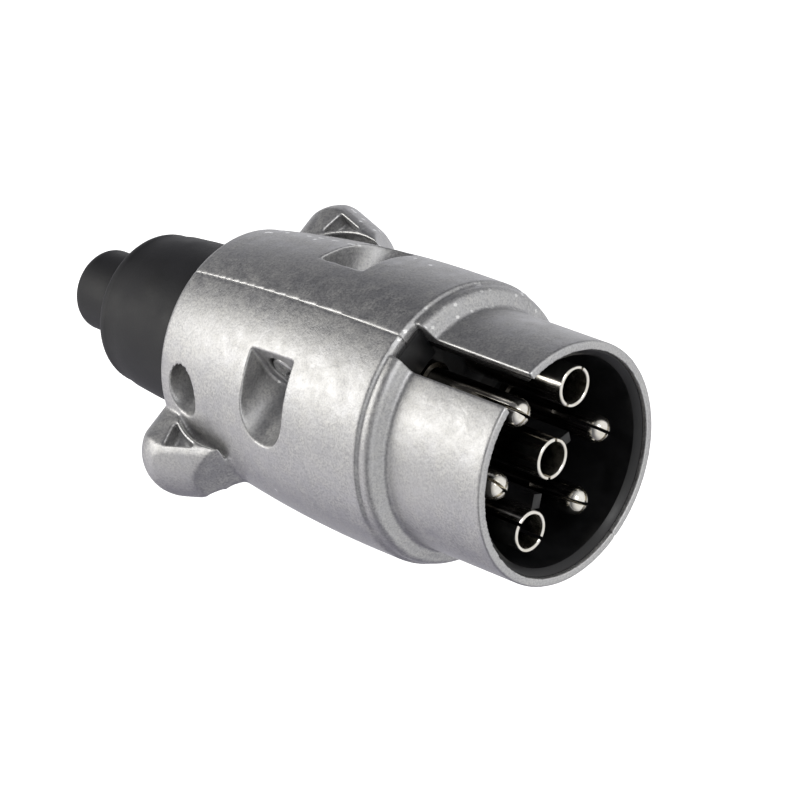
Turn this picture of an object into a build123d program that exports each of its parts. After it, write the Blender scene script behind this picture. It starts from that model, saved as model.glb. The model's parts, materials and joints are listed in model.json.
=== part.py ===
from build123d import *
import os
from math import cos, sin, radians

# Seven-contact trailer plug with a die-cast aluminium housing in two half shells.
# Millimetres. X is the plug's axis and +X leaves the mating end, +Z passes through the
# key slot, and the origin is the centre of the skirt's front rim.

# --- driving dimensions -------------------------------------------------------------
SKIRT_R = 21.0               # outside of the mating skirt
BORE_R = 19.45               # inside of the skirt, where the insert's cup sits
BODY_R = 24.7                # widest part of the housing
BODY_FRONT = -24.3           # front edge of the wide body
BODY_FLAT_END = -30.0        # the body starts to taper here
BODY_BACK = -76.5            # rear face of the housing
BACK_R = 20.4                # radius at the rear face
SKIRT_BACK = -20.2           # the skirt meets the shoulder's fillet
KEY_WIDTH = 6.72             # key slot in the skirt
KEY_BACK = -24.0
KEY_TAB_FRONT = -23.3        # the insert closes the slot's rear end
KEY_TAB_TOP = 22.6
SEAM_WIDTH = 0.24            # shallow groove along the parting line
SEAM_DEPTH = 0.3

GROOVE_R = 21.9              # groove that locks the insert's flange
GROOVE_FRONT = -25.5
GROOVE_BACK = -31.5
CHAMBER_R = 21.4             # wire chamber at its front
CHAMBER_BACK = -64.5
CHAMBER_BACK_R = 19.6
PASSAGE_R = 6.5              # cable passage through the rear block
CLAMP_RIB_R = 5.2            # ribs in the passage that bite on the cable
CLAMP_RIBS = (-67.0, -70.2)
BOOT_GROOVE_R = 11.5
BOOT_GROOVE_FRONT = -73.3
BOOT_GROOVE_BACK = -75.0
BOOT_NECK_R = 9.0

POCKET_X = -47.6             # deep pockets for the two middle screws
POCKET_Z = 16.1
POCKET_R = 5.3
POCKET_FLOOR = 9.8
POCKET_WALL = 2.3
PILLAR_R = 5.0
REAR_SCREW_X = -69.6         # the two rear screws close the cable clamp
REAR_SCREW_Z = 11.45
REAR_HOLE_R = 3.8
REAR_FLOOR = 8.0
REAR_SCREW_END = 12.0        # its tip ends in a blind hole
SHANK_R = 2.0
RUN_CLEAR = 0.05             # radial clearance round each turning shank
HEAD_R = 3.4
HEAD_H = 2.4
HEAD_RECESS_R = 3.9
RECESS_SPAN = 3.6            # cross recess in a casing screw's head
RECESS_WIDTH = 0.8
RECESS_DEPTH = 1.3
WASHER_H = 1.0
WASHER_SEAT = POCKET_FLOOR - HEAD_H - WASHER_H
NUT_FLATS = 7.0
NUT_H = 3.2

EAR_HALF_HEIGHT = 7.0        # finger ears on both sides
EAR_BACK = -79.5             # the rear is a half round, seen from outside
EAR_REACH = 40.0             # safely past everything on the ear's side
EAR_BALL = (-71.5, 23.2, 0)  # centre of the ball that rounds its outer rear corner
EAR_BALL_R = 7.9
EAR_FRONT = -50.0            # safely ahead of the ear's foot
EAR_TIP = 29.7               # furthest reach at x = EAR_TIP_X
EAR_TIP_X = -69.5
EAR_CROWN_R = 12.0
EAR_CROWN_Z = -1.0           # height of the crowned outer face's middle
EAR_SLOPE = -0.295           # the outer face leans inward towards the front
EAR_POCKET_DEPTH = 3.0
EAR_RIM_CENTRE = (-62.0, 8.3)       # the recess's inner rim is an arc round this point
EAR_RIM_IN_R = 15.4
EAR_RIM_OUT_R = 16.2
EAR_VALLEY_Z = 3.6           # floor of the valley between that rim and the body

INSERT_FRONT = -24.6         # face of the insert at the bottom of the cup
INSERT_BACK = -31.4
CUP_OUT_R = 19.4
CUP_IN_R = 18.2
CUP_RIM = -0.8
CUP_RIM_SLOPE = 1.0
FLANGE_R = 21.8
CONTACT_PCR = 12.45          # pitch radius of the six outer contacts
PIN_R = 2.5
PIN_TIP = -2.5
PIN_COLLAR = 1.5
PIN_SLIT = 0.55
PIN_SLIT_BACK = -13.0
SLEEVE_R = 3.6
SLEEVE_IN_R = 2.95
SLEEVE_TIP = -3.3
SLEEVE_SLIT = 0.6
SLEEVE_SLIT_BACK = -19.0
SLEEVE_FLOOR = -23.0
BARREL_BACK = -39.6          # rear end of the wire terminals
WIRE_R = 1.6
WIRE_DEPTH = 7.0
TERMINAL_X = -35.6           # terminal screws
TERMINAL_R = 1.5
TERMINAL_TOP = 5.0           # outer end of a terminal screw, from its contact's axis
RIB_DEPTH = 2.5              # support ribs beside two of the sleeves, measured along the radius
RIB_WIDTH = 1.9
RIB_FRONT = -5.0
RIB_GAP = 0.05
RIBS = ((230, 7.7), (109, 4.95))    # angle from +Z towards +Y, radius

BOOT_R = 15.4                # rubber boot
BOOT_MID_R = 14.8
BOOT_END_R = 13.9
BOOT_END = -101.0
BOOT_TAIL_R = 7.7
BOOT_TAIL_END = -114.6
CABLE_R = 4.0                # hole for the cable in the boot's tail
BOOT_HOLLOW_R = 6.5

# contact name: (angle from +Z towards +Y, pitch radius, turn of its slits)
PINS = {"pin_contact_1": (0, CONTACT_PCR, 15), "pin_contact_2": (120, CONTACT_PCR, 22),
        "pin_contact_3": (180, CONTACT_PCR, 30), "pin_contact_4": (300, CONTACT_PCR, 4)}
SLEEVES = {"sleeve_contact_1": (60, CONTACT_PCR, 22), "sleeve_contact_2": (240, CONTACT_PCR, 106),
           "sleeve_contact_3": (30, 0.0, 41)}


def contact_plane(x, angle, radius):
    """Plane across the plug's axis with its centre on a contact's axis.

    Its local x points out along the contact's own radius."""
    out = Vector(0, sin(radians(angle)), cos(radians(angle)))
    return Plane(origin=Vector(x, 0, 0) + out * radius, x_dir=out, z_dir=(1, 0, 0))


def across_plane(x, z, y=0.0):
    """Plane whose normal is +Y, centred on a cross screw's axis."""
    return Plane(origin=(x, y, z), x_dir=(1, 0, 0), z_dir=(0, 1, 0))


def save(builder, label):
    builder.part.label = label
    export_step(builder.part, "parts/" + label + ".step")


os.makedirs("parts", exist_ok=True)

# --- outer form of the housing, turned about X --------------------------------------
with BuildSketch(Plane.XZ) as outer_section:
    with BuildLine():
        rim = Polyline((BODY_BACK, 0), (0, 0), (0, SKIRT_R - 0.35))
        rim_round = RadiusArc(rim @ 1, (-0.35, SKIRT_R), -0.35)
        skirt = Line(rim_round @ 1, (SKIRT_BACK, SKIRT_R))
        root = TangentArc(skirt @ 1, (SKIRT_BACK - 1.25, SKIRT_R + 1.0), tangent=(-1, 0))
        step = Line(root @ 1, (SKIRT_BACK - 1.6, SKIRT_R + 1.15))
        bead = ThreePointArc(step @ 1, (-23.0, 23.75), (BODY_FRONT + 0.05, 24.1))
        edge = Polyline(bead @ 1, (BODY_FRONT - 0.15, 24.1), (BODY_FRONT - 0.15, BODY_R - 0.3))
        edge_round = RadiusArc(edge @ 1, (BODY_FRONT - 0.45, BODY_R), -0.3)
        flat = Line(edge_round @ 1, (BODY_FLAT_END, BODY_R))
        taper = TangentArc(flat @ 1, (BODY_BACK + 0.7, BACK_R), tangent=(-1, 0))
        Polyline(taper @ 1, (BODY_BACK, BACK_R - 0.7), (BODY_BACK, 0))
    make_face()
with BuildPart() as outer_form:
    add(outer_section.sketch)
    revolve(axis=Axis.X)

# skin of the outer form beside the parting line, cut away as a fine groove
with BuildPart() as seam_band:
    with BuildSketch(Plane.XZ):
        add(outer_section.sketch)
        mirror(about=Plane.XY)
        offset(outer_section.sketch + mirror(outer_section.sketch, about=Plane.XY, mode=Mode.PRIVATE),
               amount=-SEAM_DEPTH, mode=Mode.SUBTRACT)
    extrude(amount=SEAM_WIDTH / 2, both=True)

# --- one finger ear, on the +Y side ---------------------------------------------------
ear_dir = Vector(1, EAR_SLOPE, 0).normalized()
ear_out = Vector(-ear_dir.Y, ear_dir.X, 0)
ear_axis = Vector(EAR_TIP_X, EAR_TIP - EAR_CROWN_R, EAR_CROWN_Z)
# rounded thumb that the ear keeps inside of, beyond the ball's middle
thumb_plane = Plane(origin=EAR_BALL, x_dir=ear_dir, z_dir=(0, 0, 1))
with BuildPart() as ear_corner:
    with BuildSketch(Plane.XY.offset(-EAR_BALL_R - 1)):
        Polygon((EAR_BACK - 5, EAR_BALL[1]), (EAR_FRONT, EAR_BALL[1]), (EAR_FRONT, EAR_REACH),
                (EAR_BACK - 5, EAR_REACH), align=None)
    extrude(amount=2 * (EAR_BALL_R + 1))
    with BuildSketch(thumb_plane):
        with BuildLine():
            nose = CenterArc((0, 0), EAR_BALL_R, 90, 90)
            Polyline(nose @ 0, (30, EAR_BALL_R), (30, 0), nose @ 1)
        make_face()
    revolve(axis=Axis(thumb_plane.origin, thumb_plane.x_dir), mode=Mode.SUBTRACT)
with BuildPart() as ear:
    with BuildSketch(Plane.XY.offset(-EAR_HALF_HEIGHT)):
        Polygon((EAR_BACK, 12), (EAR_BACK, 33), (-69.1, 33), (-59.2, 23.6), (-56.5, 21.2), (-62, 12),
                align=None)
    extrude(amount=2 * EAR_HALF_HEIGHT)
    with BuildSketch(Plane(origin=ear_axis - ear_dir * 20, x_dir=ear_out, z_dir=ear_dir)):
        Circle(EAR_CROWN_R)
        with Locations((-EAR_CROWN_R, 0)):
            Rectangle(2 * EAR_CROWN_R, 2 * EAR_CROWN_R)
    extrude(amount=50, mode=Mode.INTERSECT)
    # side view of the ear: rounded at the rear and below, straight along its top edge
    with BuildSketch(Plane.XZ.offset(-EAR_REACH)):
        with BuildLine():
            top_edge = Line((EAR_FRONT, EAR_HALF_HEIGHT), (EAR_BACK + EAR_HALF_HEIGHT, EAR_HALF_HEIGHT))
            rear = ThreePointArc(top_edge @ 1, (EAR_BACK, 0), (EAR_BACK + EAR_HALF_HEIGHT, -EAR_HALF_HEIGHT))
            under = Line(rear @ 1, (-71.5, -EAR_HALF_HEIGHT))
            belly = ThreePointArc(under @ 1, (-67.8, -5.9), (-64, -3.4))
            Polyline(belly @ 1, (EAR_FRONT, -3.4), top_edge @ 0)
        make_face()
    extrude(amount=EAR_REACH, mode=Mode.INTERSECT)
    add(ear_corner.part, mode=Mode.SUBTRACT)
    # the ear stands clear of the boot
    with BuildSketch(Plane.YZ.offset(EAR_BACK - 1)):
        Circle(BOOT_R + 0.8)
    extrude(amount=BODY_BACK + 0.1 - EAR_BACK + 1, mode=Mode.SUBTRACT)
    # valley between the ear's top face and the body
    with BuildSketch(Plane.XY.offset(EAR_VALLEY_Z)):
        with Locations(EAR_RIM_CENTRE):
            Circle(EAR_RIM_IN_R)
    extrude(amount=EAR_HALF_HEIGHT, mode=Mode.SUBTRACT)
    # three-cornered recess in the top face, inside a thin rim
    with BuildSketch(Plane.XY.offset(EAR_HALF_HEIGHT)):
        Polygon((-71.7, 20.2), (-70.1, 26.4), (-60.1, 23.5), align=None)
        with Locations(EAR_RIM_CENTRE):
            Circle(EAR_RIM_OUT_R, mode=Mode.SUBTRACT)
    extrude(amount=-EAR_POCKET_DEPTH, mode=Mode.SUBTRACT)

# --- wire chamber and cable passage: the hollow inside both half shells -----------------
with BuildPart() as hollow:
    with BuildSketch(Plane.XZ):
        with BuildLine():
            front = Polyline((1, 0), (1, BORE_R), (GROOVE_FRONT, BORE_R), (GROOVE_FRONT, GROOVE_R),
                             (GROOVE_BACK, GROOVE_R), (GROOVE_BACK, CHAMBER_R))
            wall = ThreePointArc(front @ 1, (-49, 21.1), (CHAMBER_BACK, CHAMBER_BACK_R))
            Polyline(wall @ 1, (CHAMBER_BACK, PASSAGE_R), (BOOT_GROOVE_FRONT, PASSAGE_R),
                     (BOOT_GROOVE_FRONT, BOOT_GROOVE_R), (BOOT_GROOVE_BACK, BOOT_GROOVE_R),
                     (BOOT_GROOVE_BACK, BOOT_NECK_R), (BODY_BACK - 1, BOOT_NECK_R),
                     (BODY_BACK - 1, 0), (1, 0))
        make_face()
    revolve(axis=Axis.X)
    # the walls of the screw pockets and the pillars between them stand in the chamber
    for z in (POCKET_Z, -POCKET_Z):
        up = 1 if z > 0 else -1
        with BuildSketch(across_plane(POCKET_X, z, -30)):
            SlotCenterPoint(center=(0, -up * 10), point=(0, 0), height=2 * PILLAR_R)
        extrude(amount=60, mode=Mode.SUBTRACT)
        for y in (WASHER_SEAT - POCKET_WALL, -30):
            with BuildSketch(across_plane(POCKET_X, z, y)):
                SlotCenterPoint(center=(0, -up * 10), point=(0, 0), height=2 * (POCKET_R + POCKET_WALL))
            extrude(amount=30 - (WASHER_SEAT - POCKET_WALL), mode=Mode.SUBTRACT)
    # clamp ribs in the cable passage
    for x in CLAMP_RIBS:
        with BuildSketch(Plane.XZ):
            Polygon((x - 1.1, PASSAGE_R + 0.5), (x + 1.1, PASSAGE_R + 0.5), (x, CLAMP_RIB_R), align=None)
        revolve(axis=Axis.X, mode=Mode.SUBTRACT)

# --- housing before it is parted ----------------------------------------------------------
with BuildPart() as housing:
    add(outer_form.part)
    add(ear.part)
    add(ear.part.mirror(Plane.XZ))
    add(hollow.part, mode=Mode.SUBTRACT)
    # key slot
    with BuildSketch(Plane.XY.offset(10)):
        with Locations(((KEY_BACK + 5) / 2, 0)):
            Rectangle(5 - KEY_BACK, KEY_WIDTH)
    extrude(amount=20, mode=Mode.SUBTRACT)
    # U-shaped screw pockets, open to the outside
    for z in (POCKET_Z, -POCKET_Z):
        up = 1 if z > 0 else -1
        for y in (POCKET_FLOOR, -POCKET_FLOOR - 25):
            with BuildSketch(across_plane(POCKET_X, z, y)):
                SlotCenterPoint(center=(0, -up * 12), point=(0, 0), height=2 * POCKET_R)
            extrude(amount=25, mode=Mode.SUBTRACT)


# --- half shells ----------------------------------------------------------------------------
with BuildPart() as housing_half_left:
    add(housing.part)
    add(seam_band.part, mode=Mode.SUBTRACT)
    split(bisect_by=Plane.XZ, keep=Keep.BOTTOM)
    for z in (POCKET_Z, -POCKET_Z):
        with BuildSketch(across_plane(POCKET_X, z, -1)):
            Circle(SHANK_R + RUN_CLEAR)
        extrude(amount=POCKET_FLOOR + 2, mode=Mode.SUBTRACT)
        with BuildSketch(across_plane(POCKET_X, z, POCKET_FLOOR - NUT_H)):
            RegularPolygon(NUT_FLATS / 2 + 0.05, 6, major_radius=False)
        extrude(amount=NUT_H + 1, mode=Mode.SUBTRACT)
    for z in (REAR_SCREW_Z, -REAR_SCREW_Z):
        with BuildSketch(across_plane(REAR_SCREW_X, z, -1)):
            Circle(SHANK_R + RUN_CLEAR)
        extrude(amount=15, mode=Mode.SUBTRACT)
save(housing_half_left, "housing_half_left")

with BuildPart() as housing_half_right:
    add(housing.part)
    add(seam_band.part, mode=Mode.SUBTRACT)
    split(bisect_by=Plane.XZ, keep=Keep.TOP)
    for z in (POCKET_Z, -POCKET_Z):
        with BuildSketch(across_plane(POCKET_X, z, -20)):
            Circle(SHANK_R + RUN_CLEAR)
        extrude(amount=21, mode=Mode.SUBTRACT)
        with BuildSketch(across_plane(POCKET_X, z, -20)):
            Circle(HEAD_RECESS_R)
        extrude(amount=20 - WASHER_SEAT, mode=Mode.SUBTRACT)
    for z in (REAR_SCREW_Z, -REAR_SCREW_Z):
        with BuildSketch(across_plane(REAR_SCREW_X, z, -30)):
            Circle(REAR_HOLE_R)
        extrude(amount=30 - REAR_FLOOR, mode=Mode.SUBTRACT)
        with BuildSketch(across_plane(REAR_SCREW_X, z, -30)):
            Circle(SHANK_R + RUN_CLEAR)
        extrude(amount=31, mode=Mode.SUBTRACT)
save(housing_half_right, "housing_half_right")

# --- insert: one black moulding, a disc with a cup that lines the skirt -----------------------
with BuildPart() as contact_insert:
    with BuildSketch(Plane.XZ):
        with BuildLine():
            Polyline((INSERT_FRONT, 0), (INSERT_FRONT, CUP_IN_R), (CUP_RIM - CUP_RIM_SLOPE, CUP_IN_R),
                     (CUP_RIM, CUP_OUT_R - 0.2), (CUP_RIM, CUP_OUT_R),
                     (GROOVE_FRONT - 0.1, CUP_OUT_R), (GROOVE_FRONT - 0.1, FLANGE_R),
                     (INSERT_BACK, FLANGE_R), (INSERT_BACK, 0), close=True)
        make_face()
    revolve(axis=Axis.X)
    with BuildSketch(Plane.XY.offset(10)):
        with Locations(((INSERT_FRONT + 5) / 2, 0)):
            Rectangle(5 - INSERT_FRONT, KEY_WIDTH)
    extrude(amount=9.6, mode=Mode.SUBTRACT)
    # tab that closes the rear end of the key slot
    with BuildSketch(Plane.XZ.offset(-(KEY_WIDTH / 2 - 0.05))):
        Polygon((INSERT_FRONT - 0.1, 16.3), (KEY_TAB_FRONT, 16.3), (KEY_TAB_FRONT, KEY_TAB_TOP),
                (KEY_BACK + 0.05, KEY_TAB_TOP), (KEY_BACK + 0.05, BORE_R - 0.15),
                (INSERT_FRONT - 0.1, BORE_R - 0.15), align=None)
    extrude(amount=KEY_WIDTH - 0.1)
    # ribs that steady two of the sleeves
    for angle, radius in RIBS:
        with BuildSketch(contact_plane(INSERT_FRONT - 1, angle, radius)):
            Rectangle(RIB_DEPTH, RIB_WIDTH)
        extrude(amount=RIB_FRONT - INSERT_FRONT + 1)
    for angle, radius, turn in SLEEVES.values():
        with BuildSketch(contact_plane(INSERT_FRONT, angle, radius)):
            Circle(SLEEVE_R + RIB_GAP)
        extrude(amount=RIB_FRONT - INSERT_FRONT + 1, mode=Mode.SUBTRACT)
    for angle, radius, turn in PINS.values():
        with BuildSketch(contact_plane(INSERT_BACK - 1, angle, radius)):
            Circle(PIN_R)
        extrude(amount=INSERT_FRONT - INSERT_BACK + 2, mode=Mode.SUBTRACT)
    for angle, radius, turn in SLEEVES.values():
        with BuildSketch(contact_plane(INSERT_BACK - 1, angle, radius)):
            Circle(SLEEVE_R)
        extrude(amount=INSERT_FRONT - INSERT_BACK + 2, mode=Mode.SUBTRACT)
save(contact_insert, "contact_insert")


def terminal(angle, radius):
    """Wire terminal behind the insert: a barrel with a wire hole and a tapped cross hole."""
    with BuildPart() as barrel:
        with BuildSketch(contact_plane(BARREL_BACK, angle, radius)):
            Circle(SLEEVE_R)
        extrude(amount=INSERT_BACK - BARREL_BACK)
        with BuildSketch(contact_plane(BARREL_BACK, angle, radius)):
            Circle(WIRE_R)
        extrude(amount=WIRE_DEPTH, mode=Mode.SUBTRACT)
        side = contact_plane(TERMINAL_X, angle, radius)
        with BuildSketch(Plane(origin=side.origin, x_dir=(1, 0, 0), z_dir=side.x_dir)):
            Circle(TERMINAL_R)
        extrude(amount=SLEEVE_R + 1, mode=Mode.SUBTRACT)
    return barrel.part


# --- split pins --------------------------------------------------------------------------------
for name, (angle, radius, turn) in PINS.items():
    with BuildPart() as pin_contact:
        with BuildSketch(Plane.XZ):
            with BuildLine():
                nose = CenterArc((PIN_TIP - PIN_R, 0), PIN_R, 0, 90)
                Polyline(nose @ 1, (INSERT_BACK, PIN_R), (INSERT_BACK, 0), nose @ 0)
            make_face()
        revolve(axis=Axis.X)
        with BuildSketch(Plane.YZ.offset(INSERT_FRONT)):
            Circle(PIN_R + 0.9)
        extrude(amount=PIN_COLLAR)
        for cross in (turn, turn + 90):
            with BuildSketch(Plane.YZ.offset(PIN_SLIT_BACK)):
                Rectangle(2 * PIN_R + 1, PIN_SLIT, rotation=cross)
            extrude(amount=PIN_TIP - PIN_SLIT_BACK + 1, mode=Mode.SUBTRACT)
    place = contact_plane(0, angle, radius).origin
    with BuildPart() as whole_pin:
        add(pin_contact.part.moved(Location(place)))
        add(terminal(angle, radius))
    save(whole_pin, name)

# --- split sleeves -----------------------------------------------------------------------------
for name, (angle, radius, turn) in SLEEVES.items():
    with BuildPart() as sleeve_contact:
        with BuildSketch(Plane.YZ.offset(INSERT_BACK)):
            Circle(SLEEVE_R)
        extrude(amount=SLEEVE_TIP - INSERT_BACK)
        with BuildSketch(Plane.YZ.offset(SLEEVE_FLOOR)):
            Circle(SLEEVE_IN_R)
        extrude(amount=SLEEVE_TIP - SLEEVE_FLOOR, mode=Mode.SUBTRACT)
        fillet(sleeve_contact.edges().group_by(Axis.X)[-1], 0.18)
        with BuildSketch(Plane.YZ.offset(SLEEVE_SLIT_BACK)):
            Rectangle(2 * SLEEVE_R + 1, SLEEVE_SLIT, rotation=turn)
        extrude(amount=SLEEVE_TIP - SLEEVE_SLIT_BACK + 1, mode=Mode.SUBTRACT)
    place = contact_plane(0, angle, radius).origin
    with BuildPart() as whole_sleeve:
        add(sleeve_contact.part.moved(Location(place)))
        add(terminal(angle, radius))
    save(whole_sleeve, name)

# --- terminal screws, one for each contact ---------------------------------------------------
for number, (angle, radius, turn) in enumerate([*PINS.values(), *SLEEVES.values()], start=1):
    side = contact_plane(TERMINAL_X, angle, radius)
    with BuildPart() as terminal_screw:
        with BuildSketch(Plane(origin=side.origin + side.x_dir * 0.4, x_dir=(1, 0, 0), z_dir=side.x_dir)):
            Circle(TERMINAL_R)
        extrude(amount=TERMINAL_TOP - 0.4)
        with BuildSketch(Plane(origin=side.origin + side.x_dir * TERMINAL_TOP, x_dir=(1, 0, 0),
                               z_dir=side.x_dir)):
            Rectangle(4, 0.5, rotation=turn)
        extrude(amount=-1.0, mode=Mode.SUBTRACT)
    save(terminal_screw, f"terminal_screw_{number}")


def casing_screw(x, z, seat, end):
    """Pan-head screw with a cross recess, its head on the -Y side."""
    with BuildPart() as screw:
        with BuildSketch(across_plane(x, z, -seat - WASHER_H - HEAD_H)):
            Circle(HEAD_R)
        extrude(amount=HEAD_H)
        fillet(screw.edges().group_by(Axis.Y)[0], 0.9)
        with BuildSketch(across_plane(x, z, -seat - WASHER_H)):
            Circle(SHANK_R)
        extrude(amount=seat + WASHER_H + end)
        for turn in (30, 120):
            with BuildSketch(across_plane(x, z, -seat - WASHER_H - HEAD_H)):
                Rectangle(RECESS_SPAN, RECESS_WIDTH, rotation=turn)
            extrude(amount=RECESS_DEPTH, mode=Mode.SUBTRACT)
    return screw


# --- casing screws: two in the middle, two that close the cable clamp -------------------------
save(casing_screw(POCKET_X, POCKET_Z, WASHER_SEAT, POCKET_FLOOR), "middle_screw_top")
save(casing_screw(POCKET_X, -POCKET_Z, WASHER_SEAT, POCKET_FLOOR), "middle_screw_bottom")
save(casing_screw(REAR_SCREW_X, REAR_SCREW_Z, REAR_FLOOR, REAR_SCREW_END), "clamp_screw_top")
save(casing_screw(REAR_SCREW_X, -REAR_SCREW_Z, REAR_FLOOR, REAR_SCREW_END), "clamp_screw_bottom")

with BuildPart() as housing_nuts:
    for z in (POCKET_Z, -POCKET_Z):
        with BuildSketch(across_plane(POCKET_X, z, POCKET_FLOOR - NUT_H)):
            RegularPolygon(NUT_FLATS / 2, 6, major_radius=False)
            Circle(SHANK_R + RUN_CLEAR, mode=Mode.SUBTRACT)
        extrude(amount=NUT_H)
save(housing_nuts, "housing_nuts")

with BuildPart() as spring_washers:
    for x, z, seat in ((POCKET_X, POCKET_Z, WASHER_SEAT), (POCKET_X, -POCKET_Z, WASHER_SEAT),
                       (REAR_SCREW_X, REAR_SCREW_Z, REAR_FLOOR), (REAR_SCREW_X, -REAR_SCREW_Z, REAR_FLOOR)):
        with BuildSketch(across_plane(x, z, -seat - WASHER_H)):
            Circle(HEAD_R)
            Circle(SHANK_R + 0.2, mode=Mode.SUBTRACT)
            with Locations((HEAD_R - 0.5, 0)):
                Rectangle(3, 0.5, mode=Mode.SUBTRACT)
        extrude(amount=WASHER_H)
save(spring_washers, "spring_washers")

# --- rubber boot, its flange held in the housing's rear groove ----------------------------------
with BuildPart() as cable_boot:
    with BuildSketch(Plane.XZ):
        with BuildLine():
            neck = Polyline((BOOT_GROOVE_FRONT - 0.05, 0), (BOOT_GROOVE_FRONT - 0.05, BOOT_GROOVE_R - 0.1),
                            (BOOT_GROOVE_BACK, BOOT_GROOVE_R - 0.1), (BOOT_GROOVE_BACK, BOOT_NECK_R - 0.05),
                            (BODY_BACK, BOOT_NECK_R - 0.05), (BODY_BACK, BOOT_R))
            side = ThreePointArc(neck @ 1, (-89, BOOT_MID_R), (BOOT_END + 2.2, BOOT_END_R))
            corner = TangentArc(side @ 1, (BOOT_END, BOOT_END_R - 2.6), tangent=side % 1)
            shelf = Polyline(corner @ 1, (BOOT_END, BOOT_TAIL_R), (BOOT_TAIL_END + 3, BOOT_TAIL_R - 0.4))
            tip = TangentArc(shelf @ 1, (BOOT_TAIL_END, BOOT_TAIL_R - 2.6), tangent=shelf % 1)
            Polyline(tip @ 1, (BOOT_TAIL_END, 0), (BOOT_GROOVE_FRONT - 0.05, 0))
        make_face()
    revolve(axis=Axis.X)
    with BuildSketch(Plane.YZ.offset(BOOT_TAIL_END - 1)):
        Circle(CABLE_R)
    extrude(amount=50, mode=Mode.SUBTRACT)
    with BuildSketch(Plane.YZ.offset(BOOT_END + 2.5)):
        Circle(BOOT_HOLLOW_R)
    extrude(amount=40, mode=Mode.SUBTRACT)
save(cable_boot, "cable_boot")
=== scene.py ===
"""Looks of a seven-contact trailer plug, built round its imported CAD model.

Shapes are worked out in millimetres in the row frame: +X out of the mating end, +Z through
the key slot, origin at the centre of the skirt's front rim. They are stored in metres."""
import json
import math

import bmesh
import bpy
from mathutils import Matrix, Vector


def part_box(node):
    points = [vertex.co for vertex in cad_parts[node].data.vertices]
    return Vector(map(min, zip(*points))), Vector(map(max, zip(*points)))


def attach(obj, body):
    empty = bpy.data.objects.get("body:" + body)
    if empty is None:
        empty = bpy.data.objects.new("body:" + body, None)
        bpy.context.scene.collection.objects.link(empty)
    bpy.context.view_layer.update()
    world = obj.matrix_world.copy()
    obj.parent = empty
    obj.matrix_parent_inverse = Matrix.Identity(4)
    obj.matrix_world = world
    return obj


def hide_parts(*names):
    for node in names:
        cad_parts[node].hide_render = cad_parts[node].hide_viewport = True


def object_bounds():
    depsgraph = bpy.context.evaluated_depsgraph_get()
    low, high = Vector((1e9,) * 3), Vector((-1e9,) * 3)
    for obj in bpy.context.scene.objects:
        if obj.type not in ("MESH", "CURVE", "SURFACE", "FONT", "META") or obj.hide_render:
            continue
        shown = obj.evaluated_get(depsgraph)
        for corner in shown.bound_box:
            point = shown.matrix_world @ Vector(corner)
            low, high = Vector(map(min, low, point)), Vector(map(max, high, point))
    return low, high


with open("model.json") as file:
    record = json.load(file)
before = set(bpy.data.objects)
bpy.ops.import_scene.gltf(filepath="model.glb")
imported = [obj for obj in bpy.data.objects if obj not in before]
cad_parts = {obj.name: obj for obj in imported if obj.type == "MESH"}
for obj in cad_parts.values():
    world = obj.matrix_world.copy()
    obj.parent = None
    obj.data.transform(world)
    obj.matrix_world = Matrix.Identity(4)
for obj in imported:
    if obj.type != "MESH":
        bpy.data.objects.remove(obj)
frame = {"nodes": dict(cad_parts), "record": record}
cad_box = [[float(c) for c in corner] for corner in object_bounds()]

MM = 0.001
TURN = 2 * math.pi

# --- sizes taken from the CAD model, in millimetres -------------------------------------
housing_low, housing_high = (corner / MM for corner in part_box("housing_half_left"))
insert_low, insert_high = (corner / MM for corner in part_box("contact_insert"))
boot_low, boot_high = (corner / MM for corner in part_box("cable_boot"))
BODY_R = housing_high.z
SKIRT_R = 21.0
BORE_R = 19.45
BODY_FRONT = -24.3
BODY_FLAT_END = -30.0
BODY_BACK = boot_high.x - 3.15
BACK_R = 20.4
SKIRT_BACK = -20.2
KEY_WIDTH = 6.72
KEY_BACK = -24.0
CUP_IN_R = 18.2
CUP_OUT_R = 19.4
CUP_RIM = insert_high.x
INSERT_FRONT = -24.6
INSERT_BACK = insert_low.x
FLANGE_R = insert_high.z
FLANGE_FRONT = -25.6
CONTACT_PCR = 12.45
PIN_R = 2.5
SLEEVE_R = 3.6
SLEEVE_IN_R = 2.95
POCKET_X, POCKET_Z, POCKET_R, POCKET_FLOOR = -47.6, 16.1, 5.3, 9.8
POCKET_WALL = 2.3
CLAMP_X, CLAMP_Z, CLAMP_R, CLAMP_FLOOR = -69.6, 11.45, 3.8, 8.0
HEAD_SEAT_R = 3.9
HEAD_SEAT = POCKET_FLOOR - 3.4
NUT_SEAT = POCKET_FLOOR - 3.2
SHANK_R, SHANK_HOLE_R = 2.0, 2.05
NUT_CORNER_R = 3.55 / math.cos(math.pi / 6)
SCREW_HEAD_R, SCREW_HEAD, WASHER = 3.4, 2.4, 1.0

# finger ear
EAR_HALF = 7.0                          # half its height
EAR_BACK, EAR_FRONT = -79.5, -50.0      # its rear, and a place safely ahead of its foot
EAR_TIP = (-69.5, 29.7)                 # x and y of a point on its outer face
EAR_SLOPE = -0.295                      # that face leans inward towards the front
EAR_CROWN_R, EAR_CROWN_Z = 12.0, -1.0
EAR_BALL, EAR_BALL_R = (-71.5, 23.2, 0), 7.9
EAR_RIM = (-62.0, 8.3)                  # the recess's inner rim is an arc round this point
EAR_RIM_IN_R, EAR_RIM_OUT_R = 15.4, 16.2
EAR_VALLEY_Z, EAR_RECESS = 3.6, 3.0     # floor of the valley, depth of the recess
BOOT_RELIEF_R = 16.2

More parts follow.
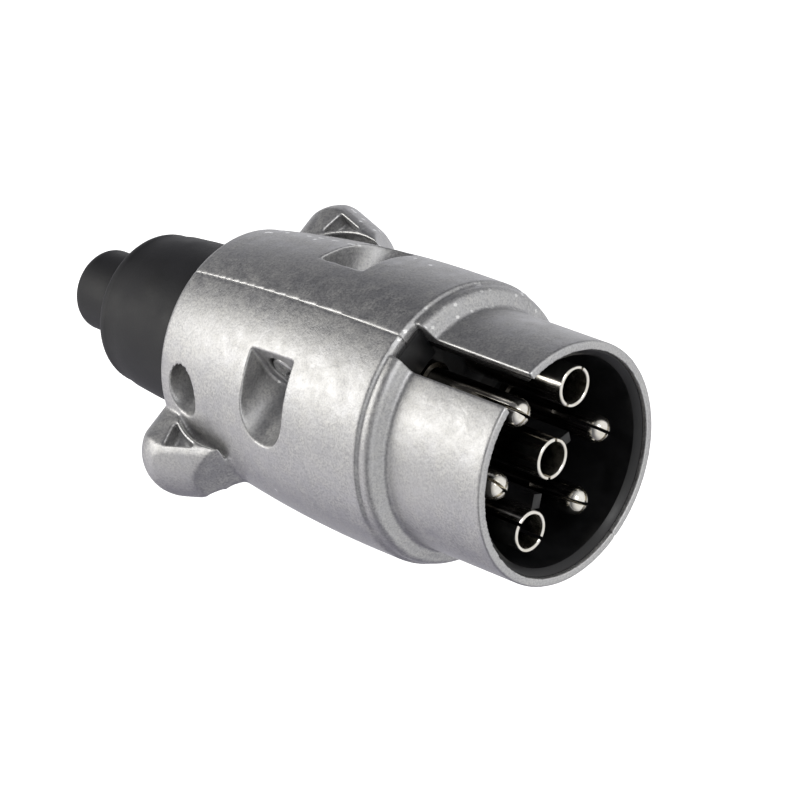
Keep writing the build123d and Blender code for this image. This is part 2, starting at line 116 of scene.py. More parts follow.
# ribs beside two of the sleeves: (angle from +Z towards +Y, radius)
RIBS = ((230, 7.7), (109, 4.95))
RIB_DEPTH, RIB_WIDTH, RIB_FRONT = 2.5, 1.9, -5.0
KEY_TAB = (16.3, 22.6, -23.3)           # its lowest and highest z, and its front

PIN_TIP, PIN_COLLAR, PIN_SLIT, PIN_SLIT_BACK = -2.5, 1.5, 0.55, -13
SLEEVE_TIP, SLEEVE_FLOOR, SLEEVE_SLIT, SLEEVE_SLIT_BACK = -3.3, -23.0, 0.6, -19
BARREL_BACK, TERMINAL_X = -39.6, -35.6
BOOT_END = -101.0                       # the boot steps down to its tail here

# contact: (angle from +Z towards +Y, pitch radius, turn of its slits)
PINS = {"pin_contact_1": (0, CONTACT_PCR, 15), "pin_contact_2": (120, CONTACT_PCR, 22),
        "pin_contact_3": (180, CONTACT_PCR, 30), "pin_contact_4": (300, CONTACT_PCR, 4)}
SLEEVES = {"sleeve_contact_1": (60, CONTACT_PCR, 22), "sleeve_contact_2": (240, CONTACT_PCR, 106),
           "sleeve_contact_3": (30, 0.0, 41)}


# --- mesh helpers ---------------------------------------------------------------------------
def link(name, mesh):
    piece = bpy.data.objects.new(name, mesh)
    bpy.context.scene.collection.objects.link(piece)
    return piece


def arc(x, r, radius, start, end, steps=8):
    """Points of an arc round (x, r), between two angles in degrees from +X towards +R."""
    angles = [math.radians(start + (end - start) * i / steps) for i in range(steps + 1)]
    return [(x + radius * math.cos(a), r + radius * math.sin(a)) for a in angles]


def ring(x, r, segments):
    """Points round the X axis, set off from the parting plane so that cuts there stay clean."""
    angles = [TURN * (i + 0.37) / segments for i in range(segments)]
    return [(x, r * math.sin(a), r * math.cos(a)) for a in angles]


def lathe(name, outline, segments=256):
    """Closed body turned about X; the outline runs from the axis to the axis as (x, radius)."""
    bm = bmesh.new()
    rings = []
    for x, r in outline:
        if r < 1e-6:
            rings.append([bm.verts.new((x, 0, 0))])
        else:
            rings.append([bm.verts.new(p) for p in ring(x, r, segments)])
    for one, two in zip(rings, rings[1:]):
        for i in range(segments):
            j = (i + 1) % segments
            corners = [one[i % len(one)], one[j % len(one)], two[j % len(two)], two[i % len(two)]]
            bm.faces.new(list(dict.fromkeys(corners)))
    bmesh.ops.recalc_face_normals(bm, faces=bm.faces)
    mesh = bpy.data.meshes.new(name)
    bm.to_mesh(mesh)
    bm.free()
    return link(name, mesh)


def prism(name, outline, place, depth):
    """Outline in the local XY plane of a place, extruded along its local Z by depth."""
    bm = bmesh.new()
    low = [bm.verts.new((x, y, 0)) for x, y in outline]
    high = [bm.verts.new((x, y, depth)) for x, y in outline]
    bm.faces.new(low)
    bm.faces.new(high)
    for i in range(len(low)):
        j = (i + 1) % len(low)
        bm.faces.new((low[i], low[j], high[j], high[i]))
    bmesh.ops.transform(bm, matrix=place, verts=bm.verts)
    bmesh.ops.recalc_face_normals(bm, faces=bm.faces)
    mesh = bpy.data.meshes.new(name)
    bm.to_mesh(mesh)
    bm.free()
    return link(name, mesh)


def basis(origin, x_dir, z_dir):
    """Matrix of a place from its origin, local X and local Z."""
    x_dir, z_dir = Vector(x_dir).normalized(), Vector(z_dir).normalized()
    y_dir = z_dir.cross(x_dir)
    turned = Matrix((x_dir, y_dir, z_dir)).transposed().to_4x4()
    return Matrix.Translation(origin) @ turned


def circle(radius, steps=64, x=0.0, y=0.0):
    return [(x + radius * math.cos(TURN * i / steps), y + radius * math.sin(TURN * i / steps))
            for i in range(steps)]


def rectangle(width, height, turn=0.0):
    c, s = math.cos(math.radians(turn)), math.sin(math.radians(turn))
    corners = [(-1, -1), (1, -1), (1, 1), (-1, 1)]
    return [(c * x * width / 2 - s * y * height / 2, s * x * width / 2 + c * y * height / 2)
            for x, y in corners]


def slot_outline(radius, reach, steps=48):
    """Half-round bottom of a U slot that runs out along local +Y."""
    bottom = [(radius * math.cos(a), radius * math.sin(a))
              for a in (math.pi + math.pi * i / steps for i in range(steps + 1))]
    return bottom + [(radius, reach), (-radius, reach)]


def settle(piece):
    """Apply a piece's modifiers."""
    bpy.context.view_layer.update()
    shown = piece.evaluated_get(bpy.context.evaluated_depsgraph_get())
    mesh = bpy.data.meshes.new_from_object(shown)
    piece.modifiers.clear()
    piece.data = mesh
    return piece


def combine(piece, tool, operation):
    """Boolean with a tool that is used up."""
    step = piece.modifiers.new(operation, "BOOLEAN")
    step.operation = operation
    step.solver = "EXACT"
    step.object = tool
    settle(piece)
    bpy.data.objects.remove(tool)
    return piece


def duplicate(piece, name):
    return link(name, piece.data.copy())


def bevel(piece, width, segments=2, limit=32):
    step = piece.modifiers.new("bevel", "BEVEL")
    step.width = width
    step.segments = segments
    step.limit_method = "ANGLE"
    step.angle_limit = math.radians(limit)
    step.harden_normals = False
    return settle(piece)


def smooth(piece, limit=35):
    """Smooth shading with the creases above an angle kept sharp."""
    piece.data.shade_smooth()
    piece.data.set_sharp_from_angle(angle=math.radians(limit))


def to_metres(piece):
    piece.data.transform(Matrix.Scale(MM, 4))
    return piece


def finish_piece(piece, node, body, material):
    """Hand a piece over: it replaces its CAD node and moves with that node's body."""
    to_metres(piece)
    piece.data.materials.clear()
    piece.data.materials.append(material)
    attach(piece, body)
    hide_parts(node)


# --- node helpers ------------------------------------------------------------------------------
class Nodes:
    """Small wrapper that makes a material's node graph readable."""

    def __init__(self, name):
        self.material = bpy.data.materials.new(name)
        self.material.use_nodes = True
        self.tree = self.material.node_tree
        self.shader = next(n for n in self.tree.nodes if n.type == "BSDF_PRINCIPLED")
        self.place = self.tree.nodes.new("ShaderNodeTexCoord").outputs["Object"]

    def join(self, source, target):
        self.tree.links.new(source, target)

    def noise(self, scale, detail=4.0, rough=0.55, distortion=0.0):
        node = self.tree.nodes.new("ShaderNodeTexNoise")
        node.inputs["Scale"].default_value = scale
        node.inputs["Detail"].default_value = detail
        node.inputs["Roughness"].default_value = rough
        node.inputs["Distortion"].default_value = distortion
        self.join(self.place, node.inputs["Vector"])
        return node.outputs["Fac"]

    def along_x(self):
        """Distance along the plug's axis, in metres."""
        node = self.tree.nodes.new("ShaderNodeSeparateXYZ")
        self.join(self.place, node.inputs["Vector"])
        return node.outputs["X"]

    def ramp(self, source, low, high, start=0.0, end=1.0):
        """Map a source from [start, end] to [low, high]."""
        node = self.tree.nodes.new("ShaderNodeMapRange")
        node.inputs["From Min"].default_value = start
        node.inputs["From Max"].default_value = end
        node.inputs["To Min"].default_value = low
        node.inputs["To Max"].default_value = high
        self.join(source, node.inputs["Value"])
        return node.outputs["Result"]

    def mix(self, factor, one, two):
        node = self.tree.nodes.new("ShaderNodeMix")
        node.data_type = "RGBA"
        self.join(factor, node.inputs["Factor"])
        for value, socket in ((one, node.inputs["A"]), (two, node.inputs["B"])):
            if isinstance(value, tuple):
                socket.default_value = (*value, 1.0)
            else:
                self.join(value, socket)
        return node.outputs["Result"]

    def math(self, operation, one, two):
        node = self.tree.nodes.new("ShaderNodeMath")
        node.operation = operation
        for value, socket in zip((one, two), node.inputs):
            if isinstance(value, (int, float)):
                socket.default_value = value
            else:
                self.join(value, socket)
        return node.outputs["Value"]

    def edges(self):
        """High on worn outer edges, from the surface's own curvature."""
        node = self.tree.nodes.new("ShaderNodeNewGeometry")
        return node.outputs["Pointiness"]

    def bump(self, height, strength, distance, normal=None):
        node = self.tree.nodes.new("ShaderNodeBump")
        node.inputs["Strength"].default_value = strength
        node.inputs["Distance"].default_value = distance
        self.join(height, node.inputs["Height"])
        if normal is not None:
            self.join(normal, node.inputs["Normal"])
        return node.outputs["Normal"]

    def set(self, **values):
        """Plain numbers and colours on the shader's own sockets, or links to them."""
        for name, value in values.items():
            socket = self.shader.inputs[name.replace("_", " ")]
            if isinstance(value, bpy.types.NodeSocket):
                self.join(value, socket)
            elif isinstance(value, tuple):
                socket.default_value = (*value, 1.0)
            else:
                socket.default_value = value


# --- materials ------------------------------------------------------------------------------------
def cast_aluminium():
    """Tumbled die-cast aluminium: blotchy grey skin, fine pits, brighter rubbed edges."""
    n = Nodes("cast_aluminium")
    blotch = n.noise(420, detail=5, rough=0.6)
    speck = n.noise(2600, detail=3, rough=0.65)
    cloud = n.noise(90, detail=3)
    tone = n.mix(n.ramp(blotch, 0, 1, 0.33, 0.67), (0.55, 0.55, 0.565), (0.68, 0.675, 0.66))
    tone = n.mix(n.ramp(speck, 0, 1, 0.36, 0.60), (0.42, 0.42, 0.43), tone)
    tone = n.mix(n.ramp(cloud, 0, 0.3, 0.35, 0.7), tone, (0.70, 0.695, 0.68))
    edge = n.ramp(n.edges(), 0, 1, 0.52, 0.60)
    tone = n.mix(edge, tone, (0.86, 0.86, 0.85))
    roughness = n.math("ADD", n.ramp(blotch, 0.40, 0.56, 0.3, 0.7), n.ramp(speck, -0.05, 0.05, 0.3, 0.7))
    roughness = n.math("SUBTRACT", roughness, n.math("MULTIPLY", edge, 0.16))
    pits = n.bump(speck, 0.35, 0.00006)
    skin = n.bump(blotch, 0.45, 0.00022, pits)
    n.set(Base_Color=tone, Roughness=roughness, Normal=skin, Metallic=1.0)
    return n.material


def nickel_contact():
    """Nickel plate with faint turning marks, bright at the tip; further in, its colour is darkened with
    painted shade where the cup shades the shafts.
    """
    n = Nodes("nickel_contact")
    stain = n.noise(500, detail=3)
    tone = n.mix(n.ramp(stain, 0, 1, 0.35, 0.7), (0.78, 0.745, 0.67), (0.93, 0.91, 0.86))
    # painted shade: the colour darkens to near black between 6.2 and 9.5 mm behind the front rim, standing
    # in for the shade deep in the cup
    tone = n.mix(n.ramp(n.along_x(), 0, 1, -0.0095, -0.0062), (0.13, 0.12, 0.105), tone)
    marks = n.noise(3000, detail=2)
    n.set(Base_Color=tone, Roughness=n.ramp(stain, 0.11, 0.22, 0.3, 0.7), Metallic=1.0,
          Normal=n.bump(marks, 0.15, 0.00003))
    return n.material


def black_plastic():
    """Moulded thermoset with a faint grain."""
    n = Nodes("black_plastic")
    grain = n.noise(2200, detail=3)
    haze = n.noise(260, detail=4)
    tone = n.mix(n.ramp(haze, 0, 1, 0.35, 0.7), (0.004, 0.004, 0.0045), (0.009, 0.009, 0.010))
    n.set(Base_Color=tone, Roughness=n.ramp(haze, 0.30, 0.46, 0.3, 0.7),
          Normal=n.bump(grain, 0.25, 0.00004))
    return n.material


def black_rubber():
    """Matte moulded rubber, dusty on its grain."""
    n = Nodes("black_rubber")
    grain = n.noise(1500, detail=5, rough=0.65)
    dust = n.noise(150, detail=5, rough=0.6)
    tone = n.mix(n.ramp(dust, 0, 1, 0.35, 0.75), (0.010, 0.010, 0.012), (0.020, 0.020, 0.024))
    n.set(Base_Color=tone, Roughness=n.ramp(dust, 0.52, 0.68, 0.3, 0.7),
          Normal=n.bump(grain, 0.4, 0.00008))
    return n.material


def zinc_plated_steel():
    """Zinc-plated screws and nuts."""
    n = Nodes("zinc_plated_steel")
    stain = n.noise(700, detail=4)
    tone = n.mix(n.ramp(stain, 0, 1, 0.35, 0.7), (0.42, 0.42, 0.43), (0.66, 0.66, 0.65))
    n.set(Base_Color=tone, Roughness=n.ramp(stain, 0.25, 0.42, 0.3, 0.7), Metallic=1.0,
          Normal=n.bump(stain, 0.2, 0.00005))
    return n.material


MATERIALS = {"cast_aluminium": cast_aluminium(), "nickel_contact": nickel_contact(),
             "black_plastic": black_plastic(), "black_rubber": black_rubber(),
             "zinc_plated_steel": zinc_plated_steel()}


# --- housing ----------------------------------------------------------------------------------------
def outer_outline():
    """Half outline of the housing, from the front rim back to the rear face."""
    lead = math.hypot(BODY_BACK - BODY_FLAT_END, BODY_R - BACK_R)
    taper_r = lead * lead / (2 * (BODY_R - BACK_R))
    points = [(0, 0)]
    points += arc(-0.3, SKIRT_R - 0.3, 0.3, 0, 90, 4)
    points += [(-6, SKIRT_R), (-13, SKIRT_R)]
    points += arc(SKIRT_BACK, SKIRT_R + 1.1, 1.1, 270, 185, 8)
    points += arc(-23.4, 22.4, 1.75, 10, 100, 10)
    points += [(BODY_FRONT + 0.1, 24.1), (BODY_FRONT - 0.12, 24.1)]
    points += arc(BODY_FRONT - 0.42, BODY_R - 0.3, 0.3, 0, 90, 4)
    span = BODY_FLAT_END - BODY_BACK - 0.7
    steps = 36
    for i in range(steps + 1):
        x = BODY_FLAT_END - span * i / steps
        drop = taper_r - math.sqrt(taper_r ** 2 - (x - BODY_FLAT_END) ** 2)
        points.append((x, BODY_R - drop))
    points += arc(BODY_BACK + 0.7, BACK_R - 0.75, 0.7, 90, 180, 5)[1:]
    points.append((BODY_BACK, 0))
    return points


def hollow_outline():
    """Outline of the room inside: skirt bore, flange groove, wire chamber, cable passage."""
    points = [(2, 0), (2, BORE_R), (-25.5, BORE_R), (-25.5, 21.9), (-31.5, 21.9), (-31.5, 21.4)]
    points += [(-40, 21.45), (-49, 21.1), (-57, 20.45), (-64.5, 19.6)]
    for x in (-67.0, -70.2):
        points += [(x + 1.1, 6.5), (x, 5.2), (x - 1.1, 6.5)]
    points.insert(-6, (-64.5, 6.5))
    points += [(-73.3, 6.5), (-73.3, 11.5), (-75.0, 11.5), (-75.0, 9.0), (-78, 9.0), (-78, 0)]
    return points


def ear():
    """Finger ear on the +Y side: a rounded thumb with a crowned outer face and a recessed top."""
    plan = [(EAR_BACK, 12), (EAR_BACK, 33), (-69.1, 33), (-59.2, 23.6), (-56.5, 21.2), (-62, 12)]
    wing = prism("ear", plan, Matrix.Translation((0, 0, -EAR_HALF)), 2 * EAR_HALF)

    # outer face
    along = Vector((1, EAR_SLOPE, 0)).normalized()
    outward = Vector((-EAR_SLOPE, 1, 0)).normalized()
    crown = arc(0, 0, EAR_CROWN_R, -90, 90, 60)
    crown += [(-2 * EAR_CROWN_R, EAR_CROWN_R), (-2 * EAR_CROWN_R, -EAR_CROWN_R)]
    middle = Vector((EAR_TIP[0], EAR_TIP[1] - EAR_CROWN_R, EAR_CROWN_Z))
    place = basis(middle - along * 20, outward, along)
    combine(wing, prism("crown", crown, place, 50), "INTERSECT")

    # side view: half round at the rear, a straight top edge, a belly that rises to the front
    side = [(EAR_FRONT, EAR_HALF)] + arc(EAR_BACK + EAR_HALF, 0, EAR_HALF, 90, 270, 32)
    side += [(-71.5, -EAR_HALF), (-69.6, -6.6), (-67.8, -5.9), (-66, -4.85), (-64, -3.4), (EAR_FRONT, -3.4)]
    combine(wing, prism("side", side, basis((0, 45, 0), (1, 0, 0), (0, -1, 0)), 45), "INTERSECT")

    # ball at the outer rear corner
    thumb = lathe("thumb", arc(0, 0, EAR_BALL_R, 180, 90, 32) + [(30, EAR_BALL_R), (30, 0)], 128)
    thumb.data.transform(basis(Vector(EAR_BALL), along, (0, 0, 1)))
    corner = [(-85, EAR_BALL[1]), (EAR_FRONT, EAR_BALL[1]), (EAR_FRONT, 40), (-85, 40)]
    corner = prism("corner", corner, Matrix.Translation((0, 0, -10)), 20)
    combine(wing, combine(corner, thumb, "DIFFERENCE"), "DIFFERENCE")

    # clearance round the boot, valley beside the body, recess in the top face
    relief = [(-80, 0), (-80, BOOT_RELIEF_R), (BODY_BACK + 0.1, BOOT_RELIEF_R), (BODY_BACK + 0.1, 0)]
    combine(wing, lathe("relief", relief, 96), "DIFFERENCE")
    valley = circle(EAR_RIM_IN_R, 256, *EAR_RIM)
    combine(wing, prism("valley", valley, Matrix.Translation((0, 0, EAR_VALLEY_Z)), EAR_HALF), "DIFFERENCE")
    place = Matrix.Translation((0, 0, EAR_HALF - EAR_RECESS))
    recess = prism("recess", [(-71.7, 20.2), (-70.1, 26.4), (-60.1, 23.5)], place, 5)
    rim = prism("rim", circle(EAR_RIM_OUT_R, 256, *EAR_RIM), Matrix.Translation((0, 0, 0)), 20)
    return combine(wing, combine(recess, rim, "DIFFERENCE"), "DIFFERENCE")


def mirrored(piece, name):
    """Copy of a piece on the other side of the parting plane."""
    other = duplicate(piece, name)
    other.data.transform(Matrix.Scale(-1, 4, (0, 1, 0)))
    other.data.flip_normals()
    return other


def across(x, y, z, up):
    """Place whose local Z is +Y and whose local Y points along Z, up or down."""
    return basis((x, y, z), (up, 0, 0), (0, 1, 0)) @ Matrix.Rotation(math.pi, 4, "Z")


def housing_hollow():
    room = lathe("hollow", hollow_outline(), 192)
    for up in (1, -1):
        z = up * POCKET_Z
        pillar = prism("pillar", slot_outline(5.0, 20), across(POCKET_X, -30, z, up), 60)
        combine(room, pillar, "DIFFERENCE")
        inner = HEAD_SEAT - POCKET_WALL
        outline = slot_outline(POCKET_R + POCKET_WALL, 20)
        for y in (inner, -30):
            wall = prism("wall", outline, across(POCKET_X, y, z, up), 30 - inner)
            combine(room, wall, "DIFFERENCE")
    return room


def whole_housing():
    body = lathe("housing", outer_outline(), 320)
    wing = ear()
    combine(body, mirrored(wing, "other_ear"), "UNION")
    combine(body, wing, "UNION")
    combine(body, housing_hollow(), "DIFFERENCE")
    key = prism("key", rectangle(30, KEY_WIDTH), Matrix.Translation((KEY_BACK + 15, 0, 10)), 20)
    combine(body, key, "DIFFERENCE")
    for up in (1, -1):
        for y in (POCKET_FLOOR, -POCKET_FLOOR - 25):
            pocket = prism("pocket", slot_outline(POCKET_R, 24), across(POCKET_X, y, up * POCKET_Z, up), 25)
            combine(body, pocket, "DIFFERENCE")
    return body


def drill(piece, x, z, y0, y1, outline):
    place = basis((x, y0, z), (1, 0, 0), (0, 1, 0))
    combine(piece, prism("drill", outline, place, y1 - y0), "DIFFERENCE")


def cast_skin(piece, grain=0.27):
    """Even out a cast piece's mesh: every edge gets the small radius of a casting.

    The fold between ear and body, and the ear's outer side, are smoothed further."""
    step = piece.modifiers.new("skin", "REMESH")
    step.mode = "VOXEL"
    step.voxel_size = grain
    step.use_smooth_shade = True
    step = piece.modifiers.new("soften", "SMOOTH")
    step.factor = 0.5
    step.iterations = 4
    settle(piece)
    valley = piece.vertex_groups.new(name="valley")
    for v in piece.data.vertices:
        x, y, z = v.co
        side = abs(y)
        off = abs(math.hypot(side, z) - 23.0)
        if -76 < x < -54 and -9.5 < z < 4.5 and 17.5 < side < 26.0 and off < 3.0:
            valley.add([v.index], min(1.0, (3.0 - off) / 1.2), "REPLACE")
        elif side > 23.5 and z < 5.5:
            valley.add([v.index], 0.6 * min(1.0, (5.5 - z) / 2.0), "REPLACE")
    step = piece.modifiers.new("valley", "SMOOTH")
    step.factor = 0.5
    step.iterations = 60
    step.vertex_group = "valley"
    settle(piece)
    piece.vertex_groups.clear()
    piece.data.shade_smooth()
    return piece


def half_shell(whole, node, side):
    """One half of the housing, on the +Y or -Y side, with its screw holes and its nut pockets or seats."""
    half = duplicate(whole, node + "_shell")
    keep = prism("keep", rectangle(100, 80), basis((-45, 0, 0), (1, 0, 0), (0, side, 0)), 40)
    combine(half, keep, "INTERSECT")
    nut_turns = [math.pi / 3 * i + math.pi / 6 for i in range(6)]
    nut = [(NUT_CORNER_R * math.cos(a), NUT_CORNER_R * math.sin(a)) for a in nut_turns]
    shank = circle(SHANK_HOLE_R, 48)
    for up in (1, -1):
        if side > 0:
            drill(half, POCKET_X, up * POCKET_Z, -1, NUT_SEAT + 5, shank)
            drill(half, POCKET_X, up * POCKET_Z, NUT_SEAT, POCKET_FLOOR + 1, nut)
            drill(half, CLAMP_X, up * CLAMP_Z, -1, 14, shank)
        else:
            drill(half, POCKET_X, up * POCKET_Z, -20, 1, shank)
            drill(half, POCKET_X, up * POCKET_Z, -20, -HEAD_SEAT, circle(HEAD_SEAT_R, 64))
            drill(half, CLAMP_X, up * CLAMP_Z, -30, -CLAMP_FLOOR, circle(CLAMP_R, 64))
            drill(half, CLAMP_X, up * CLAMP_Z, -30, 1, shank)
    cast_skin(half)
    finish_piece(half, node, "root", MATERIALS["cast_aluminium"])


def build_housing():
    whole = whole_housing()
    half_shell(whole, "housing_half_left", 1)
    half_shell(whole, "housing_half_right", -1)
    bpy.data.objects.remove(whole)


# --- insert and contacts ----------------------------------------------------------------------------
def contact_place(x, angle, radius):
    out = Vector((0, math.sin(math.radians(angle)), math.cos(math.radians(angle))))
    return basis(Vector((x, 0, 0)) + out * radius, out, (1, 0, 0))


def build_insert():
    outline = [(INSERT_FRONT, 0)]
    outline += arc(INSERT_FRONT + 0.8, CUP_IN_R - 0.8, 0.8, 180, 90, 6)
    outline += [(-12, CUP_IN_R), (CUP_RIM - 1.0, CUP_IN_R), (CUP_RIM, CUP_OUT_R - 0.2),
                (CUP_RIM, CUP_OUT_R), (-12, CUP_OUT_R), (FLANGE_FRONT, CUP_OUT_R),
                (FLANGE_FRONT, FLANGE_R), (INSERT_BACK, FLANGE_R), (INSERT_BACK, 0)]
    insert = lathe("insert_moulding", outline, 256)
    key = prism("key", rectangle(30, KEY_WIDTH), Matrix.Translation((INSERT_FRONT + 15, 0, 10)), 9.6)
    combine(insert, key, "DIFFERENCE")
    for facts in (*PINS.values(), *SLEEVES.values()):
        hole_r = PIN_R if facts in PINS.values() else SLEEVE_R
        hole = prism("hole", circle(hole_r, 64), contact_place(INSERT_BACK - 1, *facts[:2]), 8.8)
        combine(insert, hole, "DIFFERENCE")
    low, high, front = KEY_TAB
    tab = [(INSERT_FRONT - 0.1, low), (front, low), (front, high), (KEY_BACK + 0.05, high),
           (KEY_BACK + 0.05, BORE_R - 0.15), (INSERT_FRONT - 0.1, BORE_R - 0.15)]
    place = basis((0, KEY_WIDTH / 2 - 0.05, 0), (1, 0, 0), (0, -1, 0))
    combine(insert, prism("tab", tab, place, KEY_WIDTH - 0.1), "UNION")
    for angle, radius in RIBS:
        place = contact_place(INSERT_FRONT - 1, angle, radius)
        rib = prism("rib", rectangle(RIB_DEPTH, RIB_WIDTH), place, RIB_FRONT - INSERT_FRONT + 1)
        for facts in SLEEVES.values():
            place = contact_place(INSERT_FRONT - 2, *facts[:2])
            combine(rib, prism("clear", circle(SLEEVE_R + 0.05, 64), place, 30), "DIFFERENCE")
        combine(insert, rib, "UNION")
    bevel(insert, 0.15, 2, 40)
    smooth(insert)
    finish_piece(insert, "contact_insert", "root", MATERIALS["black_plastic"])


def terminal(contact, angle, radius):
    """Barrel behind the insert, with its wire hole and its tapped cross hole."""
    barrel = prism("barrel", circle(SLEEVE_R, 72), contact_place(BARREL_BACK, angle, radius), 8.2)
    wire = prism("wire", circle(1.6, 40), contact_place(BARREL_BACK - 1, angle, radius), 8.0)
    combine(barrel, wire, "DIFFERENCE")
    side = contact_place(TERMINAL_X, angle, radius)
    out = side.to_3x3() @ Vector((1, 0, 0))
    tapped = prism("tapped", circle(1.5, 40), basis(side.translation, (1, 0, 0), out), 5)
    combine(barrel, tapped, "DIFFERENCE")
    return combine(contact, barrel, "UNION")


def build_pin(node, angle, radius, turn):
    collar, collar_r = INSERT_FRONT + PIN_COLLAR, PIN_R + 0.9
    outline = arc(PIN_TIP - PIN_R, 0, PIN_R, 0, 90, 24)
    outline += [(-12, PIN_R), (-18, PIN_R), (collar, PIN_R), (collar, collar_r), (INSERT_FRONT, collar_r),
                (INSERT_FRONT, PIN_R), (INSERT_BACK, PIN_R), (INSERT_BACK, 0)]
    pin = lathe(node + "_plated", outline, 96)
    for cross in (turn, turn + 90):
        place = basis((PIN_SLIT_BACK, 0, 0), (0, 1, 0), (1, 0, 0))
        slit = prism("slit", rectangle(7, PIN_SLIT, cross), place, 12)
        combine(pin, slit, "DIFFERENCE")
    pin.data.transform(Matrix.Translation(contact_place(0, angle, radius).translation))
    terminal(pin, angle, radius)
    bevel(pin, 0.07, 2, 38)
    smooth(pin)
    finish_piece(pin, node, "root", MATERIALS["nickel_contact"])


def build_sleeve(node, angle, radius, turn):
    tip = SLEEVE_TIP
    outline = [(SLEEVE_FLOOR, 0), (SLEEVE_FLOOR, SLEEVE_IN_R), (-12, SLEEVE_IN_R)]
    outline += [(tip - 0.12, SLEEVE_IN_R), (tip, SLEEVE_IN_R + 0.12), (tip, SLEEVE_R - 0.15),
                (tip - 0.15, SLEEVE_R), (-12, SLEEVE_R), (INSERT_BACK, SLEEVE_R), (INSERT_BACK, 0)]
    sleeve = lathe(node + "_plated", outline, 128)
    place = basis((SLEEVE_SLIT_BACK, 0, 0), (0, 1, 0), (1, 0, 0))
    combine(sleeve, prism("slit", rectangle(9, SLEEVE_SLIT, turn), place, 18), "DIFFERENCE")
    sleeve.data.transform(Matrix.Translation(contact_place(0, angle, radius).translation))
    terminal(sleeve, angle, radius)
    bevel(sleeve, 0.06, 2, 38)
    smooth(sleeve)
    finish_piece(sleeve, node, "root", MATERIALS["nickel_contact"])


# --- boot ---------------------------------------------------------------------------------------------
def build_boot():
    end, tail_end = BOOT_END, boot_low.x
    outline = [(-73.35, 6.5), (-73.35, 11.4), (-75.0, 11.4), (-75.0, 8.95), (-76.5, 8.95)]
    outline += arc(-76.9, 15.0, 0.4, 0, 90, 4)
    outline += [(-80, 15.27), (-85, 14.98), (-90, 14.74), (-95, 14.3)]
    outline += arc(end + 2.6, 11.2, 2.6, 78, 180, 12)
    outline += arc(end - 0.8, 8.5, 0.8, 0, -90, 5)
    outline += [(-105, 7.62), (-109, 7.5)]
    outline += arc(tail_end + 2.6, 4.9, 2.55, 85, 180, 10)
    outline += [(tail_end, 4.3), (tail_end + 0.4, 4.0), (-106, 4.0), (-98.5, 4.0), (-98.5, 6.5), (-86, 6.5)]
    boot = ring_lathe("boot_rubber", outline, 160)
    smooth(boot, 40)
    finish_piece(boot, "cable_boot", "root", MATERIALS["black_rubber"])


def ring_lathe(name, outline, segments):
    """Hollow body turned about X from a closed outline that doesn't touch the axis."""
    bm = bmesh.new()
    rings = [[bm.verts.new(p) for p in ring(x, r, segments)] for x, r in outline]
    for k, one in enumerate(rings):
        two = rings[(k + 1) % len(rings)]
        for i in range(segments):
            j = (i + 1) % segments
            bm.faces.new((one[i], one[j], two[j], two[i]))
    bmesh.ops.recalc_face_normals(bm, faces=bm.faces)
    mesh = bpy.data.meshes.new(name)
    bm.to_mesh(mesh)
    bm.free()
    return link(name, mesh)


# --- casing screws --------------------------------------------------------------------------------------
def build_screw(node, x, z, seat, end):
    """Pan-head screw with a cross recess, its head towards -Y."""
    head_low = seat + WASHER
    outline = [(head_low + SCREW_HEAD, 0)]
    outline += arc(head_low + SCREW_HEAD - 0.9, SCREW_HEAD_R - 0.9, 0.9, 0, 90, 6)
    outline += [(head_low, SCREW_HEAD_R), (head_low, SHANK_R), (0.7 - end, SHANK_R), (-end, 1.5), (-end, 0)]
    screw = lathe(node + "_zinc", outline, 72)
    for turn in (30, 120):
        place = basis((head_low + 1.1, 0, 0), (0, 1, 0), (1, 0, 0))
        combine(screw, prism("recess", rectangle(3.6, 0.8, turn), place, 3), "DIFFERENCE")
    bevel(screw, 0.06, 2, 40)
    smooth(screw)
    screw.data.transform(basis((x, 0, z), (1, 0, 0), (0, -1, 0)) @ Matrix.Rotation(-math.pi / 2, 4, "Y"))
    finish_piece(screw, node, node, MATERIALS["zinc_plated_steel"])


build_housing()
build_insert()
for node, facts in PINS.items():
    build_pin(node, *facts)
for node, facts in SLEEVES.items():
    build_sleeve(node, *facts)
build_boot()
build_screw("middle_screw_top", POCKET_X, POCKET_Z, HEAD_SEAT, POCKET_FLOOR)
build_screw("middle_screw_bottom", POCKET_X, -POCKET_Z, HEAD_SEAT, POCKET_FLOOR)
build_screw("clamp_screw_top", CLAMP_X, CLAMP_Z, CLAMP_FLOOR, 12.0)
build_screw("clamp_screw_bottom", CLAMP_X, -CLAMP_Z, CLAMP_FLOOR, 12.0)

slots = {entry["node"]: entry["material_slot"] for entry in frame["record"]["subparts"]}
for node, piece in frame["nodes"].items():
    piece.data.materials.clear()
    piece.data.materials.append(MATERIALS[slots[node]])


# --- stage: pale floor, soft studio light, camera ------------------------------------------------------
# pale patches of the room round the part: direction, full inside and gone outside these angles, colour
ROOM = (((-0.66, -0.72, 0.20), 20, 58, (0.70, 0.69, 0.68)),
        ((-0.50, -0.40, -0.75), 20, 70, (0.15, 0.14, 0.18)),
        ((-0.60, 0.55, -0.60), 15, 55, (0.80, 0.80, 0.82)),
        ((0.85, 0.20, -0.10), 45, 85, (0.75, 0.75, 0.74)))


def build_floor():
    """Pale paper under the part; it glows a little, so that it stays white in a dim room."""
    low = Vector(cad_box[0])
    size = 6.0
    mesh = bpy.data.meshes.new("floor")
    z = low.z - 0.06
    mesh.from_pydata([(-size, -size, z), (size, -size, z), (size, size, z), (-size, size, z)], [],
                     [(0, 1, 2, 3)])
    floor = link("floor", mesh)
    n = Nodes("floor_paper")
    n.set(Base_Color=n.mix(n.noise(3, detail=2), (0.90, 0.90, 0.90), (0.94, 0.94, 0.94)), Roughness=0.9,
          Emission_Color=(1.0, 1.0, 1.0), Emission_Strength=0.85)
    floor.data.materials.append(n.material)
    floor.visible_glossy = False


